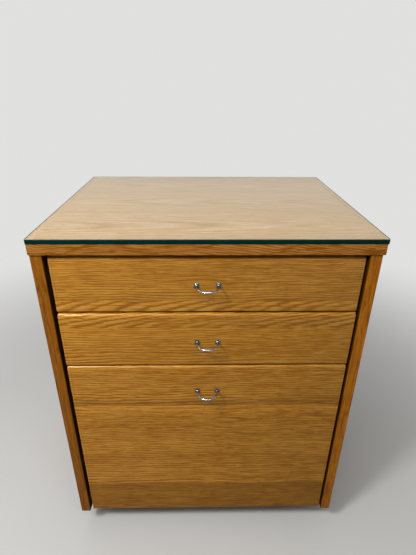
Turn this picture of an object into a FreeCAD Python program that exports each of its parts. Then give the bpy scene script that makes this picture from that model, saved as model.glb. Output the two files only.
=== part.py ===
# Rolling filing cabinet in oak: three inset drawers on telescopic slides, a glass plate on
# the top, and four swivel casters under the bottom panel.
#
# The part's frame has X to the right, Y from front to back and Z up, with the origin on the
# floor in the middle of the overall box. Places in this file are given from the workshop's
# datum instead: x from the middle of the carcass, y from the front edge of the glass, z from
# the floor. The function put() turns one into the other.
import FreeCAD, Part
import os
import re

import Sketcher

doc = FreeCAD.newDocument("rolling_filing_cabinet")
sheet = doc.addObject("Spreadsheet::Sheet", "Sizes")

# Driving sizes, in millimetres. Each is a cell of the sheet, under its own name.
SIZES = {
    # glass plate
    "glass_overhang": 1.3,
    "glass_front_overhang": 2.0,
    "glass_rear_overhang": 2.0,
    "glass_thickness": 8.0,
    "glass_corner": 3.0,
    "glass_arris": 0.8,
    "glass_shift": 1.4,
    # top panel
    "top_overhang": 1.55,
    "top_front_overhang": 3.0,
    "top_rear_overhang": 2.0,
    "top_thickness": 19.0,
    "top_shift": 0.9,
    "top_rounding": 1.5,
    # carcass
    "carcass_width": 546.0,
    "side_height": 610.0,
    "side_depth": 428.0,
    "side_thickness": 19.0,
    "side_rounding": 1.0,
    "bottom_rise": 8.0,
    "bottom_thickness": 19.0,
    "bottom_front_gap": 3.0,
    "back_thickness": 6.0,
    "rabbet_width": 9.0,
    "rail_depth": 60.0,
    "rail_thickness": 16.0,
    "rail_front_gap": 3.0,
    # drawer fronts
    "front_thickness": 19.0,
    "front_side_gap": 5.0,
    "front_shift": 0.85,
    "front_top_gap": 4.6,
    "front_gap": 3.5,
    "front_bottom_gap": 4.0,
    "front_rounding": 1.5,
    "front_top_rounding": 6.5,
    "front_height_one": 99.0,
    "front_height_two": 104.8,
    "front_setback_one": 9.0,
    "front_setback_two": 7.0,
    "front_setback_three": 7.0,
    # drawer boxes
    "box_rear_gap": 36.0,
    "box_wall": 12.0,
    "box_floor": 5.0,
    "box_floor_rise": 8.0,
    "groove_depth": 6.0,
    "groove_play": 0.2,
    "box_rise_one": 14.0,
    "box_rise_two": 14.0,
    "box_floor_gap": 8.0,
    "box_fall_one": 18.0,
    "box_fall_two": 17.5,
    "box_fall_three": 29.5,
    # telescopic slides
    "slide_space": 12.7,
    "slide_height": 45.7,
    "slide_steel": 1.2,
    "slide_front_gap": 3.0,
    "slide_rear_gap": 7.0,
    "slide_lip": 8.0,
    "slide_race": 3.2,
    "slide_play": 0.3,
    "slide_web_gap": 2.4,
    "slide_lip_middle": 10.4,
    "slide_lip_gap": 0.9,
    "slide_cage_inset": 30.0,
    "slide_cage_width": 3.6,
    "slide_rise_one": 32.0,
    "slide_rise_two": 34.0,
    "slide_rise_three": 80.0,
    "slide_screw_inset": 37.0,
    # rails for hanging files
    "file_rail_gap": 5.5,
    "file_rail_thickness": 3.0,
    "file_rail_height": 18.0,
    "file_rail_seat": 8.0,
    "file_rail_proud": 2.0,
    "file_rail_play": 0.2,
    # bow handles
    "handle_spacing": 35.5,
    "handle_reach": 24.0,
    "handle_leg_radius": 1.5,
    "handle_grip_radius": 2.15,
    "handle_grip_sweep": 116.0,
    "handle_collar_radius": 2.5,
    "handle_collar_sweep": 7.0,
    "handle_foot_radius": 5.0,
    "handle_foot_rim": 1.0,
    "handle_foot_shoulder": 4.2,
    "handle_foot_neck": 2.0,
    "handle_foot_height": 4.5,
    "handle_drop_one": 51.3,
    "handle_drop_two": 56.9,
    "handle_drop_three": 56.5,
    "handle_offset": 0.8,
    # machine screws behind the handles
    "bolt_radius": 1.5,
    "bolt_play": 0.1,
    "bolt_engagement": 3.2,
    "bolt_head_radius": 3.8,
    "bolt_head_height": 2.4,
    # wood screws
    "screw_radius": 1.75,
    "screw_play": 0.05,
    "screw_head_radius": 3.6,
    "screw_head_height": 1.7,
    "slide_screw_length": 14.0,
    "box_screw_length": 10.0,
    "top_screw_length": 30.0,
    "top_screw_inset": 60.0,
    "caster_screw_length": 16.0,
    # casters
    "wheel_radius": 25.0,
    "tread_width": 17.0,
    "tread_rounding": 2.0,
    "rim_radius": 19.0,
    "web_width": 8.0,
    "hub_radius": 8.5,
    "hub_proud": 0.7,
    "axle_radius": 3.0,
    "axle_play": 0.08,
    "axle_head_radius": 5.0,
    "axle_head_height": 1.8,
    "caster_trail": 18.0,
    "fork_steel": 2.5,
    "fork_side_play": 0.3,
    "fork_front": 13.0,
    "fork_rear": 16.0,
    "fork_shoulder": 8.0,
    "fork_leg_half": 8.5,
    "fork_leg_end": 9.0,
    "fork_end_cut": 4.0,
    "race_radius": 18.0,
    "race_height": 3.0,
    "swivel_play": 0.3,
    "rivet_radius": 4.0,
    "rivet_head_radius": 7.0,
    "rivet_head_height": 1.5,
    "caster_plate": 54.0,
    "caster_plate_thickness": 2.5,
    "caster_screw_spacing": 40.0,
    "caster_inset_side": 42.0,
    "caster_inset_front": 54.0,
    "caster_inset_rear": 60.0,
    "wheel_top_gap": 4.7,
}

# Sizes that follow from the driving ones, each written once as a formula.
TERMS = {
    "crown_base": "2 * wheel_radius + wheel_top_gap",
    "crown_top": "crown_base + fork_steel",
    "race_base": "crown_top + swivel_play",
    "plate_base": "race_base + race_height",
    "caster_height": "plate_base + caster_plate_thickness",
    "side_clearance": "caster_height - bottom_rise",
    "top_setback": "glass_front_overhang",
    "side_setback": "top_setback + top_front_overhang",
    "top_width": "carcass_width + 2 * top_overhang",
    "top_depth": "top_front_overhang + side_depth + top_rear_overhang",
    "glass_width": "top_width + 2 * glass_overhang",
    "glass_depth": "glass_front_overhang + top_depth + glass_rear_overhang",
    "side_top": "side_clearance + side_height",
    "glass_base": "side_top + top_thickness",
    "overall_height": "glass_base + glass_thickness",
    "carcass_half": "carcass_width / 2",
    "inner_half": "carcass_half - side_thickness",
    "side_back": "side_setback + side_depth",
    "back_face": "side_back - back_thickness",
    "bottom_top": "caster_height + bottom_thickness",
    "rail_base": "side_top - rail_thickness",
    "front_width": "2 * (inner_half - front_side_gap)",
    "front_top_one": "side_top - front_top_gap",
    "front_base_one": "front_top_one - front_height_one",
    "front_top_two": "front_base_one - front_gap",
    "front_base_two": "front_top_two - front_height_two",
    "front_top_three": "front_base_two - front_gap",
    "front_base_three": "side_clearance + front_bottom_gap",
    "front_height_three": "front_top_three - front_base_three",
    "front_back_one": "front_setback_one + front_thickness",
    "front_back_two": "front_setback_two + front_thickness",
    "front_back_three": "front_setback_three + front_thickness",
    "box_depth": "back_face - front_back_one - box_rear_gap",
    "box_half": "inner_half - slide_space",
    "box_inner_half": "box_half - box_wall",
    "box_base_one": "front_base_one + box_rise_one",
    "box_base_two": "front_base_two + box_rise_two",
    "box_base_three": "bottom_top + box_floor_gap",
    "box_height_one": "front_top_one - box_fall_one - box_base_one",
    "box_height_two": "front_top_two - box_fall_two - box_base_two",
    "box_height_three": "front_top_three - box_fall_three - box_base_three",
    "groove_half": "box_inner_half + groove_depth - groove_play",
    "slide_length": "box_depth - slide_front_gap - slide_rear_gap",
    "slide_half": "slide_height / 2",
    "slide_web_middle": "slide_steel + slide_web_gap",
    "slide_lip_drawer": "slide_web_middle + slide_steel + slide_lip_gap",
    "middle_half": "slide_half - slide_steel - slide_race",
    "drawer_member_half": "middle_half - slide_steel - slide_race",
    "handle_half": "handle_spacing / 2",
    "handle_leg": "handle_reach - handle_half",
    "handle_front": "handle_reach + handle_grip_radius",
    "front_edge": "min(front_setback_one; front_setback_two; front_setback_three) - handle_front",
    "datum_y": "-(front_edge + glass_depth) / 2",
    "hub_width": "tread_width + 2 * hub_proud",
    "fork_inner": "hub_width + 2 * fork_side_play",
    "fork_width": "fork_inner + 2 * fork_steel",
    "rivet_base": "crown_base - swivel_play - rivet_head_height",
    "caster_x": "inner_half - caster_inset_side",
    "caster_front_y": "side_setback + caster_inset_front",
    "caster_rear_y": "side_back - caster_inset_rear",
}

DRAWERS = ("one", "two", "three")
DRAWER_NUMBER = {"one": 1, "two": 2, "three": 3}
CASTERS = {
    "front_left": ("-caster_x", "caster_front_y"),
    "front_right": ("caster_x", "caster_front_y"),
    "rear_left": ("-caster_x", "caster_rear_y"),
    "rear_right": ("caster_x", "caster_rear_y"),
}
nodes = {}


def fill_sheet():
    """Writes each driving size to its own cell, as text, under its name."""
    for row, (name, size) in enumerate(SIZES.items(), start=1):
        sheet.set(f"A{row}", name)
        sheet.set(f"B{row}", str(size))
        sheet.setAlias(f"B{row}", name)
    doc.recompute()


def formula(text):
    """Turns the plain names in a formula into cells of the sheet."""

    def cell(match):
        word = match.group(0)
        if word in TERMS:
            return "(" + formula(TERMS[word]) + ")"
        if word in SIZES:
            return "Sizes." + word
        return word

    return re.sub(r"[a-z][a-z_]*", cell, text)


def measure(text):
    """The number that a formula gives with the sheet's sizes."""
    return float(sheet.evalExpression(formula(text)))


def bind(thing, target, text):
    """Ties one property of an object to a formula."""
    thing.setExpression(target, formula(text))


def put(thing, x, y, z):
    """Places an object from the workshop's datum: carcass middle, glass front edge, floor."""
    bind(thing, ".Placement.Base.x", f"{x} - glass_shift")
    bind(thing, ".Placement.Base.y", f"{y} + datum_y")
    bind(thing, ".Placement.Base.z", z)


def keep(name, thing):
    """Makes an object the node of that name."""
    thing.Label = name
    nodes[name] = thing
    return thing


def group(name, members):
    """One node of several separate solids, for pieces of one kind on one body."""
    compound = doc.addObject("Part::Compound", "Group_" + name)
    compound.Links = members
    return keep(name, compound)


def new_body(name):
    """An empty body with its own origin planes."""
    return doc.addObject("PartDesign::Body", "Body_" + name)


def new_sketch(body, plane, offset=None):
    """A sketch on one of the body's origin planes, raised by the offset along its normal."""
    sketch = body.newObject("Sketcher::SketchObject", "Sketch")
    support = next(f for f in body.Origin.OriginFeatures if f.Role == plane + "_Plane")
    sketch.AttachmentSupport = (support, [""])
    sketch.MapMode = "FlatFace"
    if offset:
        bind(sketch, ".AttachmentOffset.Base.z", offset)
    return sketch


def pin(sketch, geometry, point, u, v):
    """Ties one point of a sketch to formulas for its two coordinates."""
    for kind, text in (("DistanceX", u), ("DistanceY", v)):
        constraint = Sketcher.Constraint(kind, -1, 1, geometry, point, measure(text))
        index = sketch.addConstraint(constraint)
        bind(sketch, f"Constraints[{index}]", text)


def draw_outline(sketch, corners):
    """A closed outline of straight lines through the corners, each tied to its formulas."""
    points = [FreeCAD.Vector(measure(u), measure(v), 0) for u, v in corners]
    count = len(points)
    first = sketch.GeometryCount
    for index in range(count):
        sketch.addGeometry(Part.LineSegment(points[index], points[(index + 1) % count]))
    for index in range(count):
        after = first + (index + 1) % count
        sketch.addConstraint(Sketcher.Constraint("Coincident", first + index, 2, after, 1))
    for index, (u, v) in enumerate(corners):
        pin(sketch, first + index, 1, u, v)


def draw_rectangle(sketch, low, high):
    """A rectangle between two corners."""
    draw_outline(sketch, [low, (high[0], low[1]), high, (low[0], high[1])])


def draw_circle(sketch, centre, radius):
    """A circle with its centre and radius tied to formulas."""
    middle = FreeCAD.Vector(measure(centre[0]), measure(centre[1]), 0)
    circle = sketch.addGeometry(
        Part.Circle(middle, FreeCAD.Vector(0, 0, 1), measure(radius))
    )
    pin(sketch, circle, 3, *centre)
    index = sketch.addConstraint(Sketcher.Constraint("Radius", circle, measure(radius)))
    bind(sketch, f"Constraints[{index}]", radius)


def pad(body, sketch, length, reverse=False, both=False):
    """Pads a sketch by a length along its normal, against it, or to both sides of it."""
    feature = body.newObject("PartDesign::Pad", "Pad")
    feature.Profile = sketch
    bind(feature, "Length", length)
    feature.Reversed = reverse
    feature.Midplane = both
    return feature


def pocket(body, sketch, depth=None, reverse=False, both=False):
    """Cuts a sketch into the body, to a depth or all the way through."""
    before = body.Tip
    feature = body.newObject("PartDesign::Pocket", "Pocket")
    feature.Profile = sketch
    if depth:
        bind(feature, "Length", depth)
    else:
        feature.Type = "ThroughAll"
    feature.Reversed = reverse
    feature.Midplane = both
    doc.recompute()
    if feature.Shape.Volume > before.Shape.Volume - 0.01:
        raise RuntimeError(f"{body.Name}: a pocket cuts nothing")
    return feature


def round_edges(body, radius, wanted):
    """Rounds those edges of the body that the test picks."""
    doc.recompute()
    tip = body.Tip
    picked = [f"Edge{i}" for i, edge in enumerate(tip.Shape.Edges, 1) if wanted(edge)]
    fillet = body.newObject("PartDesign::Fillet", "Rounding")
    fillet.Base = (tip, picked)
    bind(fillet, "Radius", radius)


def at_low(edge, axis):
    """True for an edge that lies at nought along the axis, 0 for X, 1 for Y, 2 for Z."""
    return all(abs(vertex.Point[axis]) < 1e-6 for vertex in edge.Vertexes)


def upright(edge):
    """True for an edge that runs along Z."""
    ends = [vertex.Point for vertex in edge.Vertexes]
    return abs(ends[0].z - ends[-1].z) > 1e-6


def mirrored(source):
    """The same piece on the other side of the carcass middle."""
    mirror = doc.addObject("Part::Mirroring", "Mirror")
    mirror.Source = source
    mirror.Normal = FreeCAD.Vector(1, 0, 0)
    bind(mirror, "Base.x", "-glass_shift")
    return mirror


def board(name, low, high):
    """A plain rectangular board between two corners given from the datum."""
    body = new_body(name)
    sketch = new_sketch(body, "XY")
    size = [f"({top}) - ({base})" for base, top in zip(low, high)]
    draw_rectangle(sketch, ("0", "0"), (size[0], size[1]))
    pad(body, sketch, size[2])
    put(body, *low)
    return body


def rod(radius, length, axis, x, y, z):
    """A cylinder that starts at a point and runs along an axis given as a direction."""
    cylinder = doc.addObject("Part::Cylinder", "Rod")
    bind(cylinder, "Radius", radius)
    bind(cylinder, "Height", length)
    cylinder.Placement.Rotation = FreeCAD.Rotation(
        FreeCAD.Vector(0, 0, 1), FreeCAD.Vector(*axis)
    )
    put(cylinder, x, y, z)
    return cylinder


def fused(pieces):
    """Several overlapping solids made into one."""
    fusion = doc.addObject("Part::MultiFuse", "Fusion")
    fusion.Shapes = pieces
    fusion.Refine = True
    return fusion


def screw(radius, length, head_radius, head_height, axis, x, y, z):
    """A pan-head screw. The point is under its head, and the axis runs towards its tip."""
    shank = rod(radius, length, axis, x, y, z)
    step = [f"{-part} * ({head_height})" for part in axis]
    head = rod(
        head_radius,
        head_height,
        axis,
        f"({x}) + {step[0]}",
        f"({y}) + {step[1]}",
        f"({z}) + {step[2]}",
    )
    return fused([shank, head])


def wood_screw(length, axis, x, y, z):
    """The cabinet's own wood screw, in the length asked for."""
    return screw(
        "screw_radius",
        length,
        "screw_head_radius",
        "screw_head_height",
        axis,
        x,
        y,
        z,
    )


def slide_front(which):
    """Where the slides of a drawer start, behind its front."""
    return f"front_back_{which} + slide_front_gap"


def slide_level(which):
    """The height of the middle of a drawer's slides."""
    return f"box_base_{which} + slide_rise_{which}"


def slide_screw_ends(which):
    """Where along the slides their front and rear screws sit."""
    front = slide_front(which)
    return (
        f"{front} + slide_screw_inset",
        f"{front} + slide_length - slide_screw_inset",
    )


def make_side_panels():
    """The two sides, rabbeted for the back panel and drilled for the slides' screws."""
    body = new_body("side")
    section = new_sketch(body, "XY")
    draw_outline(
        section,
        [
            ("0", "0"),
            ("side_thickness", "0"),
            ("side_thickness", "side_depth - back_thickness"),
            ("side_thickness - rabbet_width", "side_depth - back_thickness"),
            ("side_thickness - rabbet_width", "side_depth"),
            ("0", "side_depth"),
        ],
    )
    pad(body, section, "side_height")
    holes = new_sketch(body, "YZ", "side_thickness")
    for which in DRAWERS:
        for along in slide_screw_ends(which):
            centre = (
                f"{along} - side_setback",
                f"{slide_level(which)} - side_clearance",
            )
            draw_circle(holes, centre, "screw_radius + screw_play")
    pocket(body, holes, "slide_screw_length")
    round_edges(
        body,
        "side_rounding",
        lambda edge: at_low(edge, 1) and upright(edge),
    )
    put(body, "-carcass_half", "side_setback", "side_clearance")
    keep("side_panel_left", body)
    keep("side_panel_right", mirrored(body))


def make_top_panel():
    """The wooden top, rounded along its lower edge, with holes for the screws in the rails."""
    low = ("top_shift - top_width / 2", "top_setback", "side_top")
    high = ("top_shift + top_width / 2", "top_setback + top_depth", "glass_base")
    body = board("top", low, high)
    holes = new_sketch(body, "XY")
    for x, y in top_screw_places():
        draw_circle(
            holes,
            (f"({x}) - ({low[0]})", f"({y}) - top_setback"),
            "screw_radius + screw_play",
        )
    pocket(body, holes, "top_screw_length - rail_thickness", reverse=True)

    def lower_rim(edge):
        straight = edge.Curve.TypeId == "Part::GeomLine"
        return straight and at_low(edge, 2) and edge.Length > measure("top_depth") / 2

    round_edges(body, "top_rounding", lower_rim)
    keep("top_panel", body)


def top_screw_places():
    """The four places where screws come up through the rails."""
    x = "inner_half - top_screw_inset"
    front = "front_back_one + rail_front_gap + rail_depth / 2"
    rear = "back_face - rail_depth / 2"
    return [(side + f"({x})", y) for side in ("-", "") for y in (front, rear)]


def make_rails():
    """The rails across the carcass under the top, one behind the first front, one at the back."""
    starts = {
        "top_rail_front": "front_back_one + rail_front_gap",
        "top_rail_rear": "back_face - rail_depth",
    }
    for name, start in starts.items():
        low = ("-inner_half", start, "rail_base")
        high = ("inner_half", f"{start} + rail_depth", "side_top")
        body = board(name, low, high)
        holes = new_sketch(body, "XY")
        for middle in ("top_screw_inset", "2 * inner_half - top_screw_inset"):
            draw_circle(holes, (middle, "rail_depth / 2"), "screw_radius + screw_play")
        pocket(body, holes, reverse=True)
        keep(name, body)


def make_glass():
    """The plate on the top, with rounded corners and a fine arris along its edges."""
    low = ("glass_shift - glass_width / 2", "0", "glass_base")
    high = ("glass_shift + glass_width / 2", "glass_depth", "overall_height")
    body = board("glass", low, high)
    round_edges(body, "glass_corner", upright)
    round_edges(body, "glass_arris", lambda edge: not upright(edge))
    keep("glass_top", body)


def make_back_and_bottom():
    """The thin back panel in its rabbets and the bottom panel that carries the casters."""
    play = "groove_play"
    low = (f"-inner_half - rabbet_width + {play}", "back_face", "side_clearance")
    high = (f"inner_half + rabbet_width - {play}", "side_back", "side_top")
    keep("back_panel", board("back", low, high))
    front = "front_back_three + bottom_front_gap"
    low = ("-inner_half", front, "caster_height")
    high = ("inner_half", "back_face", "bottom_top")
    body = board("bottom", low, high)
    holes = new_sketch(body, "XY")
    for x, y in caster_screw_places():
        draw_circle(
            holes,
            (f"({x}) + inner_half", f"({y}) - ({front})"),
            "screw_radius + screw_play",
        )
    pocket(
        body, holes, "caster_screw_length - caster_plate_thickness + screw_play", True
    )
    keep("bottom_panel", body)


def caster_screw_places():
    """The places of the four screws of each caster plate."""
    reach = "caster_screw_spacing / 2"
    return [
        (f"({x}) {across} {reach}", f"({y}) {along} {reach}")
        for x, y in CASTERS.values()
        for across in "+-"
        for along in "+-"
    ]


def channel(web, lip, half, opens_inward, which):
    """One left slide member: a channel along Y, its web and lips measured from the side."""
    body = new_body("channel")
    sketch = new_sketch(body, "XZ")
    back, front = web, f"{web} + slide_steel"
    if not opens_inward:
        back, front = front, back
    draw_outline(
        sketch,
        [
            (back, f"-({half})"),
            (lip, f"-({half})"),
            (lip, f"-({half}) + slide_steel"),
            (front, f"-({half}) + slide_steel"),
            (front, f"{half} - slide_steel"),
            (lip, f"{half} - slide_steel"),
            (lip, half),
            (back, half),
        ],
    )
    pad(body, sketch, "slide_length", reverse=True)
    put(body, "-inner_half", slide_front(which), slide_level(which))
    return body


def drill_channel(body, web, which):
    """The two screw holes in the web of a slide member."""
    holes = new_sketch(body, "YZ", f"{web} + slide_steel")
    for along in slide_screw_ends(which):
        centre = (f"{along} - ({slide_front(which)})", "0")
        draw_circle(holes, centre, "screw_radius + screw_play")
    pocket(body, holes, "slide_steel")


def ball_cage(low_x, base_z, which):
    """One strip of balls in its race, beside the middle member."""
    thick = "slide_race - 2 * slide_play"
    low = (low_x, f"{slide_front(which)} + slide_cage_inset", base_z)
    high = (
        f"{low_x} + slide_cage_width",
        f"{slide_front(which)} + slide_length - slide_cage_inset",
        f"{base_z} + {thick}",
    )
    return board("cage", low, high)


def make_slides():
    """Three slides on each side: cabinet member, middle member with its balls, drawer member."""
    web = "slide_space - slide_steel"
    lip = "slide_lip_drawer"
    outer_cage = "-inner_half + slide_web_middle"
    inner_cage = f"-inner_half + {lip}"
    cage_places = (
        (outer_cage, "middle_half + slide_play"),
        (outer_cage, "-middle_half - slide_race + slide_play"),
        (inner_cage, "drawer_member_half + slide_play"),
        (inner_cage, "-drawer_member_half - slide_race + slide_play"),
    )
    for which in DRAWERS:
        number = DRAWER_NUMBER[which]
        outer = channel("0", "slide_lip", "slide_half", True, which)
        drill_channel(outer, "0", which)
        group(f"slide_{number}_cabinet_members", [outer, mirrored(outer)])
        middles = [
            channel("slide_web_middle", "slide_lip_middle", "middle_half", True, which)
        ]
        for low_x, base in cage_places:
            middles.append(ball_cage(low_x, f"{slide_level(which)} + {base}", which))
        group(
            f"slide_{number}_middle_members",
            middles + [mirrored(piece) for piece in middles],
        )
        inner = channel(web, lip, "drawer_member_half", False, which)
        drill_channel(inner, web, which)
        group(f"slide_{number}_drawer_members", [inner, mirrored(inner)])


def make_carcass_screws():
    """Screws through the slides into the sides, and up through the rails into the top."""
    screws = []
    for which in DRAWERS:
        for along in slide_screw_ends(which):
            left = wood_screw(
                "slide_screw_length",
                (-1, 0, 0),
                "-inner_half + slide_steel",
                along,
                slide_level(which),
            )
            screws += [left, mirrored(left)]
    for x, y in top_screw_places():
        screws.append(wood_screw("top_screw_length", (0, 0, 1), x, y, "rail_base"))
    group("carcass_screws", screws)


def make_drawer_front(which):
    """An inset front, well rounded along its top edge, drilled for the handle's two screws."""
    number = DRAWER_NUMBER[which]
    body = new_body("front")
    face = new_sketch(body, "XZ")
    draw_rectangle(face, ("0", "0"), ("front_width", f"front_height_{which}"))
    pad(body, face, "front_thickness", reverse=True)
    round_edges(
        body,
        "front_top_rounding",
        lambda edge: at_low(edge, 1) and not upright(edge) and not at_low(edge, 2),
    )
    round_edges(
        body,
        "front_rounding",
        lambda edge: at_low(edge, 1) and (upright(edge) or at_low(edge, 2)),
    )
    holes = new_sketch(body, "XZ")
    for side in "+-":
        centre = (
            f"front_width / 2 - front_shift + handle_offset {side} handle_half",
            f"front_height_{which} - handle_drop_{which}",
        )
        draw_circle(holes, centre, "bolt_radius + bolt_play")
    pocket(body, holes)
    start = "front_shift - front_width / 2"
    put(body, start, f"front_setback_{which}", f"front_base_{which}")
    keep(f"drawer_{number}_front", body)


def make_box_side(which):
    """The two sides of a drawer box, grooved for its floor."""
    number = DRAWER_NUMBER[which]
    height = f"box_height_{which}"
    body = new_body("box_side")
    section = new_sketch(body, "XZ")
    draw_outline(
        section,
        [
            ("0", "0"),
            ("box_wall", "0"),
            ("box_wall", "box_floor_rise - groove_play"),
            ("box_wall - groove_depth", "box_floor_rise - groove_play"),
            ("box_wall - groove_depth", "box_floor_rise + box_floor + groove_play"),
            ("box_wall", "box_floor_rise + box_floor + groove_play"),
            ("box_wall", height),
            ("0", height),
        ],
    )
    pad(body, section, "box_depth", reverse=True)
    holes = new_sketch(body, "YZ")
    for along in slide_screw_ends(which):
        centre = (f"{along} - front_back_{which}", f"slide_rise_{which}")
        draw_circle(holes, centre, "screw_radius + screw_play")
    pocket(
        body, holes, "box_screw_length - slide_steel + screw_play", reverse=True
    )
    if which == "three":
        cut_file_rail_seats(body)
    put(body, "-box_half", f"front_back_{which}", f"box_base_{which}")
    keep(f"drawer_{number}_box_side_left", body)
    keep(f"drawer_{number}_box_side_right", mirrored(body))


def file_rail_starts():
    """Where the front and rear file rails start, from the front of the box."""
    return (
        "box_wall + file_rail_gap",
        "box_depth - box_wall - file_rail_gap - file_rail_thickness",
    )


def cut_file_rail_seats(body):
    """The two slots in the top edge of a box side that hold the file rails."""
    seats = new_sketch(body, "YZ", "box_wall")
    base = "box_height_three + file_rail_proud - file_rail_height - file_rail_play"
    for start in file_rail_starts():
        draw_rectangle(
            seats,
            (f"{start} - file_rail_play", base),
            (
                f"{start} + file_rail_thickness + file_rail_play",
                "box_height_three + file_rail_proud",
            ),
        )
    pocket(body, seats, "file_rail_seat")


def make_file_rails():
    """Two flat steel rails across the file drawer, on which hanging files run."""
    reach = "box_inner_half + file_rail_seat - file_rail_play"
    top = "box_base_three + box_height_three + file_rail_proud"
    rails = []
    for start in file_rail_starts():
        low = (
            f"-({reach})",
            f"front_back_three + {start}",
            f"{top} - file_rail_height",
        )
        high = (reach, f"front_back_three + {start} + file_rail_thickness", top)
        rails.append(board("file_rail", low, high))
    group("drawer_3_file_rails", rails)


def make_box_ends(which):
    """The front and back of a drawer box, between its sides, grooved for its floor."""
    number = DRAWER_NUMBER[which]
    height = f"box_height_{which}"
    starts = {
        "front": f"front_back_{which}",
        "back": f"front_back_{which} + box_depth - box_wall",
    }
    for end, start in starts.items():
        body = new_body("box_" + end)
        section = new_sketch(body, "YZ")
        inner = "box_wall" if end == "front" else "0"
        outer = "0" if end == "front" else "box_wall"
        depth = (
            "box_wall - groove_depth" if end == "front" else "groove_depth"
        )
        draw_outline(
            section,
            [
                (outer, "0"),
                (inner, "0"),
                (inner, "box_floor_rise - groove_play"),
                (depth, "box_floor_rise - groove_play"),
                (depth, "box_floor_rise + box_floor + groove_play"),
                (inner, "box_floor_rise + box_floor + groove_play"),
                (inner, height),
                (outer, height),
            ],
        )
        pad(body, section, "2 * box_inner_half")
        if end == "front":
            drill_box_front(body, which)
        put(body, "-box_inner_half", start, f"box_base_{which}")
        keep(f"drawer_{number}_box_{end}", body)


def drill_box_front(body, which):
    """The handle's screw holes through the front of the box."""
    holes = new_sketch(body, "XZ")
    for side in "+-":
        centre = (
            f"box_inner_half + handle_offset {side} handle_half",
            f"{handle_height(which)} - box_base_{which}",
        )
        draw_circle(holes, centre, "bolt_radius + bolt_play")
    pocket(body, holes)


def make_box_floor(which):
    """The thin floor of a drawer box, let into the grooves all round."""
    number = DRAWER_NUMBER[which]
    base = f"box_base_{which} + box_floor_rise"
    start = f"front_back_{which} + box_wall - groove_depth + groove_play"
    end = (
        f"front_back_{which} + box_depth - box_wall + groove_depth - groove_play"
    )
    low = ("-groove_half", start, base)
    high = ("groove_half", end, f"{base} + box_floor")
    keep(f"drawer_{number}_box_floor", board("floor", low, high))


def make_box_screws(which):
    """Screws that hold the drawer members of the slides to the sides of the box."""
    number = DRAWER_NUMBER[which]
    screws = []
    for along in slide_screw_ends(which):
        left = wood_screw(
            "box_screw_length",
            (1, 0, 0),
            "-box_half - slide_steel",
            along,
            slide_level(which),
        )
        screws += [left, mirrored(left)]
    group(f"drawer_{number}_slide_screws", screws)


def handle_height(which):
    """The height of a handle's feet."""
    return f"front_top_{which} - handle_drop_{which}"


def arc_rod(radius, start, sweep, x, y, z):
    """A rod bent round the handle's bow, from an angle on and over a sweep, in degrees."""
    arc = doc.addObject("Part::Torus", "Arc")
    bind(arc, "Radius1", "handle_half")
    bind(arc, "Radius2", radius)
    bind(arc, "Angle3", sweep)
    arc.Placement.Rotation = FreeCAD.Rotation(FreeCAD.Vector(0, 0, 1), 0)
    bind(arc, ".Placement.Rotation.Angle", start)
    put(arc, x, y, z)
    return arc


def make_handle_foot(x, face, level):
    """The flared foot of a handle, as a thin rim and a cone."""
    rim = rod("handle_foot_radius", "handle_foot_rim", (0, -1, 0), x, face, level)
    flare = doc.addObject("Part::Cone", "Flare")
    bind(flare, "Radius1", "handle_foot_shoulder")
    bind(flare, "Radius2", "handle_foot_neck")
    bind(flare, "Height", "handle_foot_height - handle_foot_rim")
    flare.Placement.Rotation = FreeCAD.Rotation(
        FreeCAD.Vector(0, 0, 1), FreeCAD.Vector(0, -1, 0)
    )
    put(flare, x, f"{face} - handle_foot_rim", level)
    return [rim, flare]


def make_handle(which):
    """A bow handle: two flared feet, a level half round of rod and a thicker grip on it."""
    number = DRAWER_NUMBER[which]
    level = handle_height(which)
    face = f"front_setback_{which}"
    middle = ("handle_offset", f"{face} - handle_leg", level)
    grip_end = "handle_grip_sweep / 2"
    collar = "handle_collar_sweep"
    pieces = [
        arc_rod("handle_leg_radius", "-180", "180", *middle),
        arc_rod("handle_grip_radius", f"-90 - {grip_end}", "handle_grip_sweep", *middle),
        arc_rod("handle_collar_radius", f"-90 - {grip_end} - {collar}", collar, *middle),
        arc_rod("handle_collar_radius", f"-90 + {grip_end}", collar, *middle),
    ]
    holes = []
    for side in "+-":
        x = f"handle_offset {side} handle_half"
        pieces.append(
            rod("handle_leg_radius", "handle_leg", (0, -1, 0), x, face, level)
        )
        pieces += make_handle_foot(x, face, level)
        holes.append(
            rod(
                "bolt_radius + bolt_play",
                "bolt_engagement + bolt_play",
                (0, -1, 0),
                x,
                face,
                level,
            )
        )
    drilled = doc.addObject("Part::Cut", "Handle")
    drilled.Base = fused(pieces)
    drilled.Tool = fused(holes)
    keep(f"drawer_{number}_handle", drilled)


def make_handle_screws(which):
    """The two machine screws that hold a handle and clamp its front to the box."""
    number = DRAWER_NUMBER[which]
    length = "front_thickness + box_wall + bolt_engagement"
    start = f"front_back_{which} + box_wall"
    screws = [
        screw(
            "bolt_radius",
            length,
            "bolt_head_radius",
            "bolt_head_height",
            (0, -1, 0),
            f"handle_offset {side} handle_half",
            start,
            handle_height(which),
        )
        for side in "+-"
    ]
    group(f"drawer_{number}_handle_screws", screws)


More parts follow.
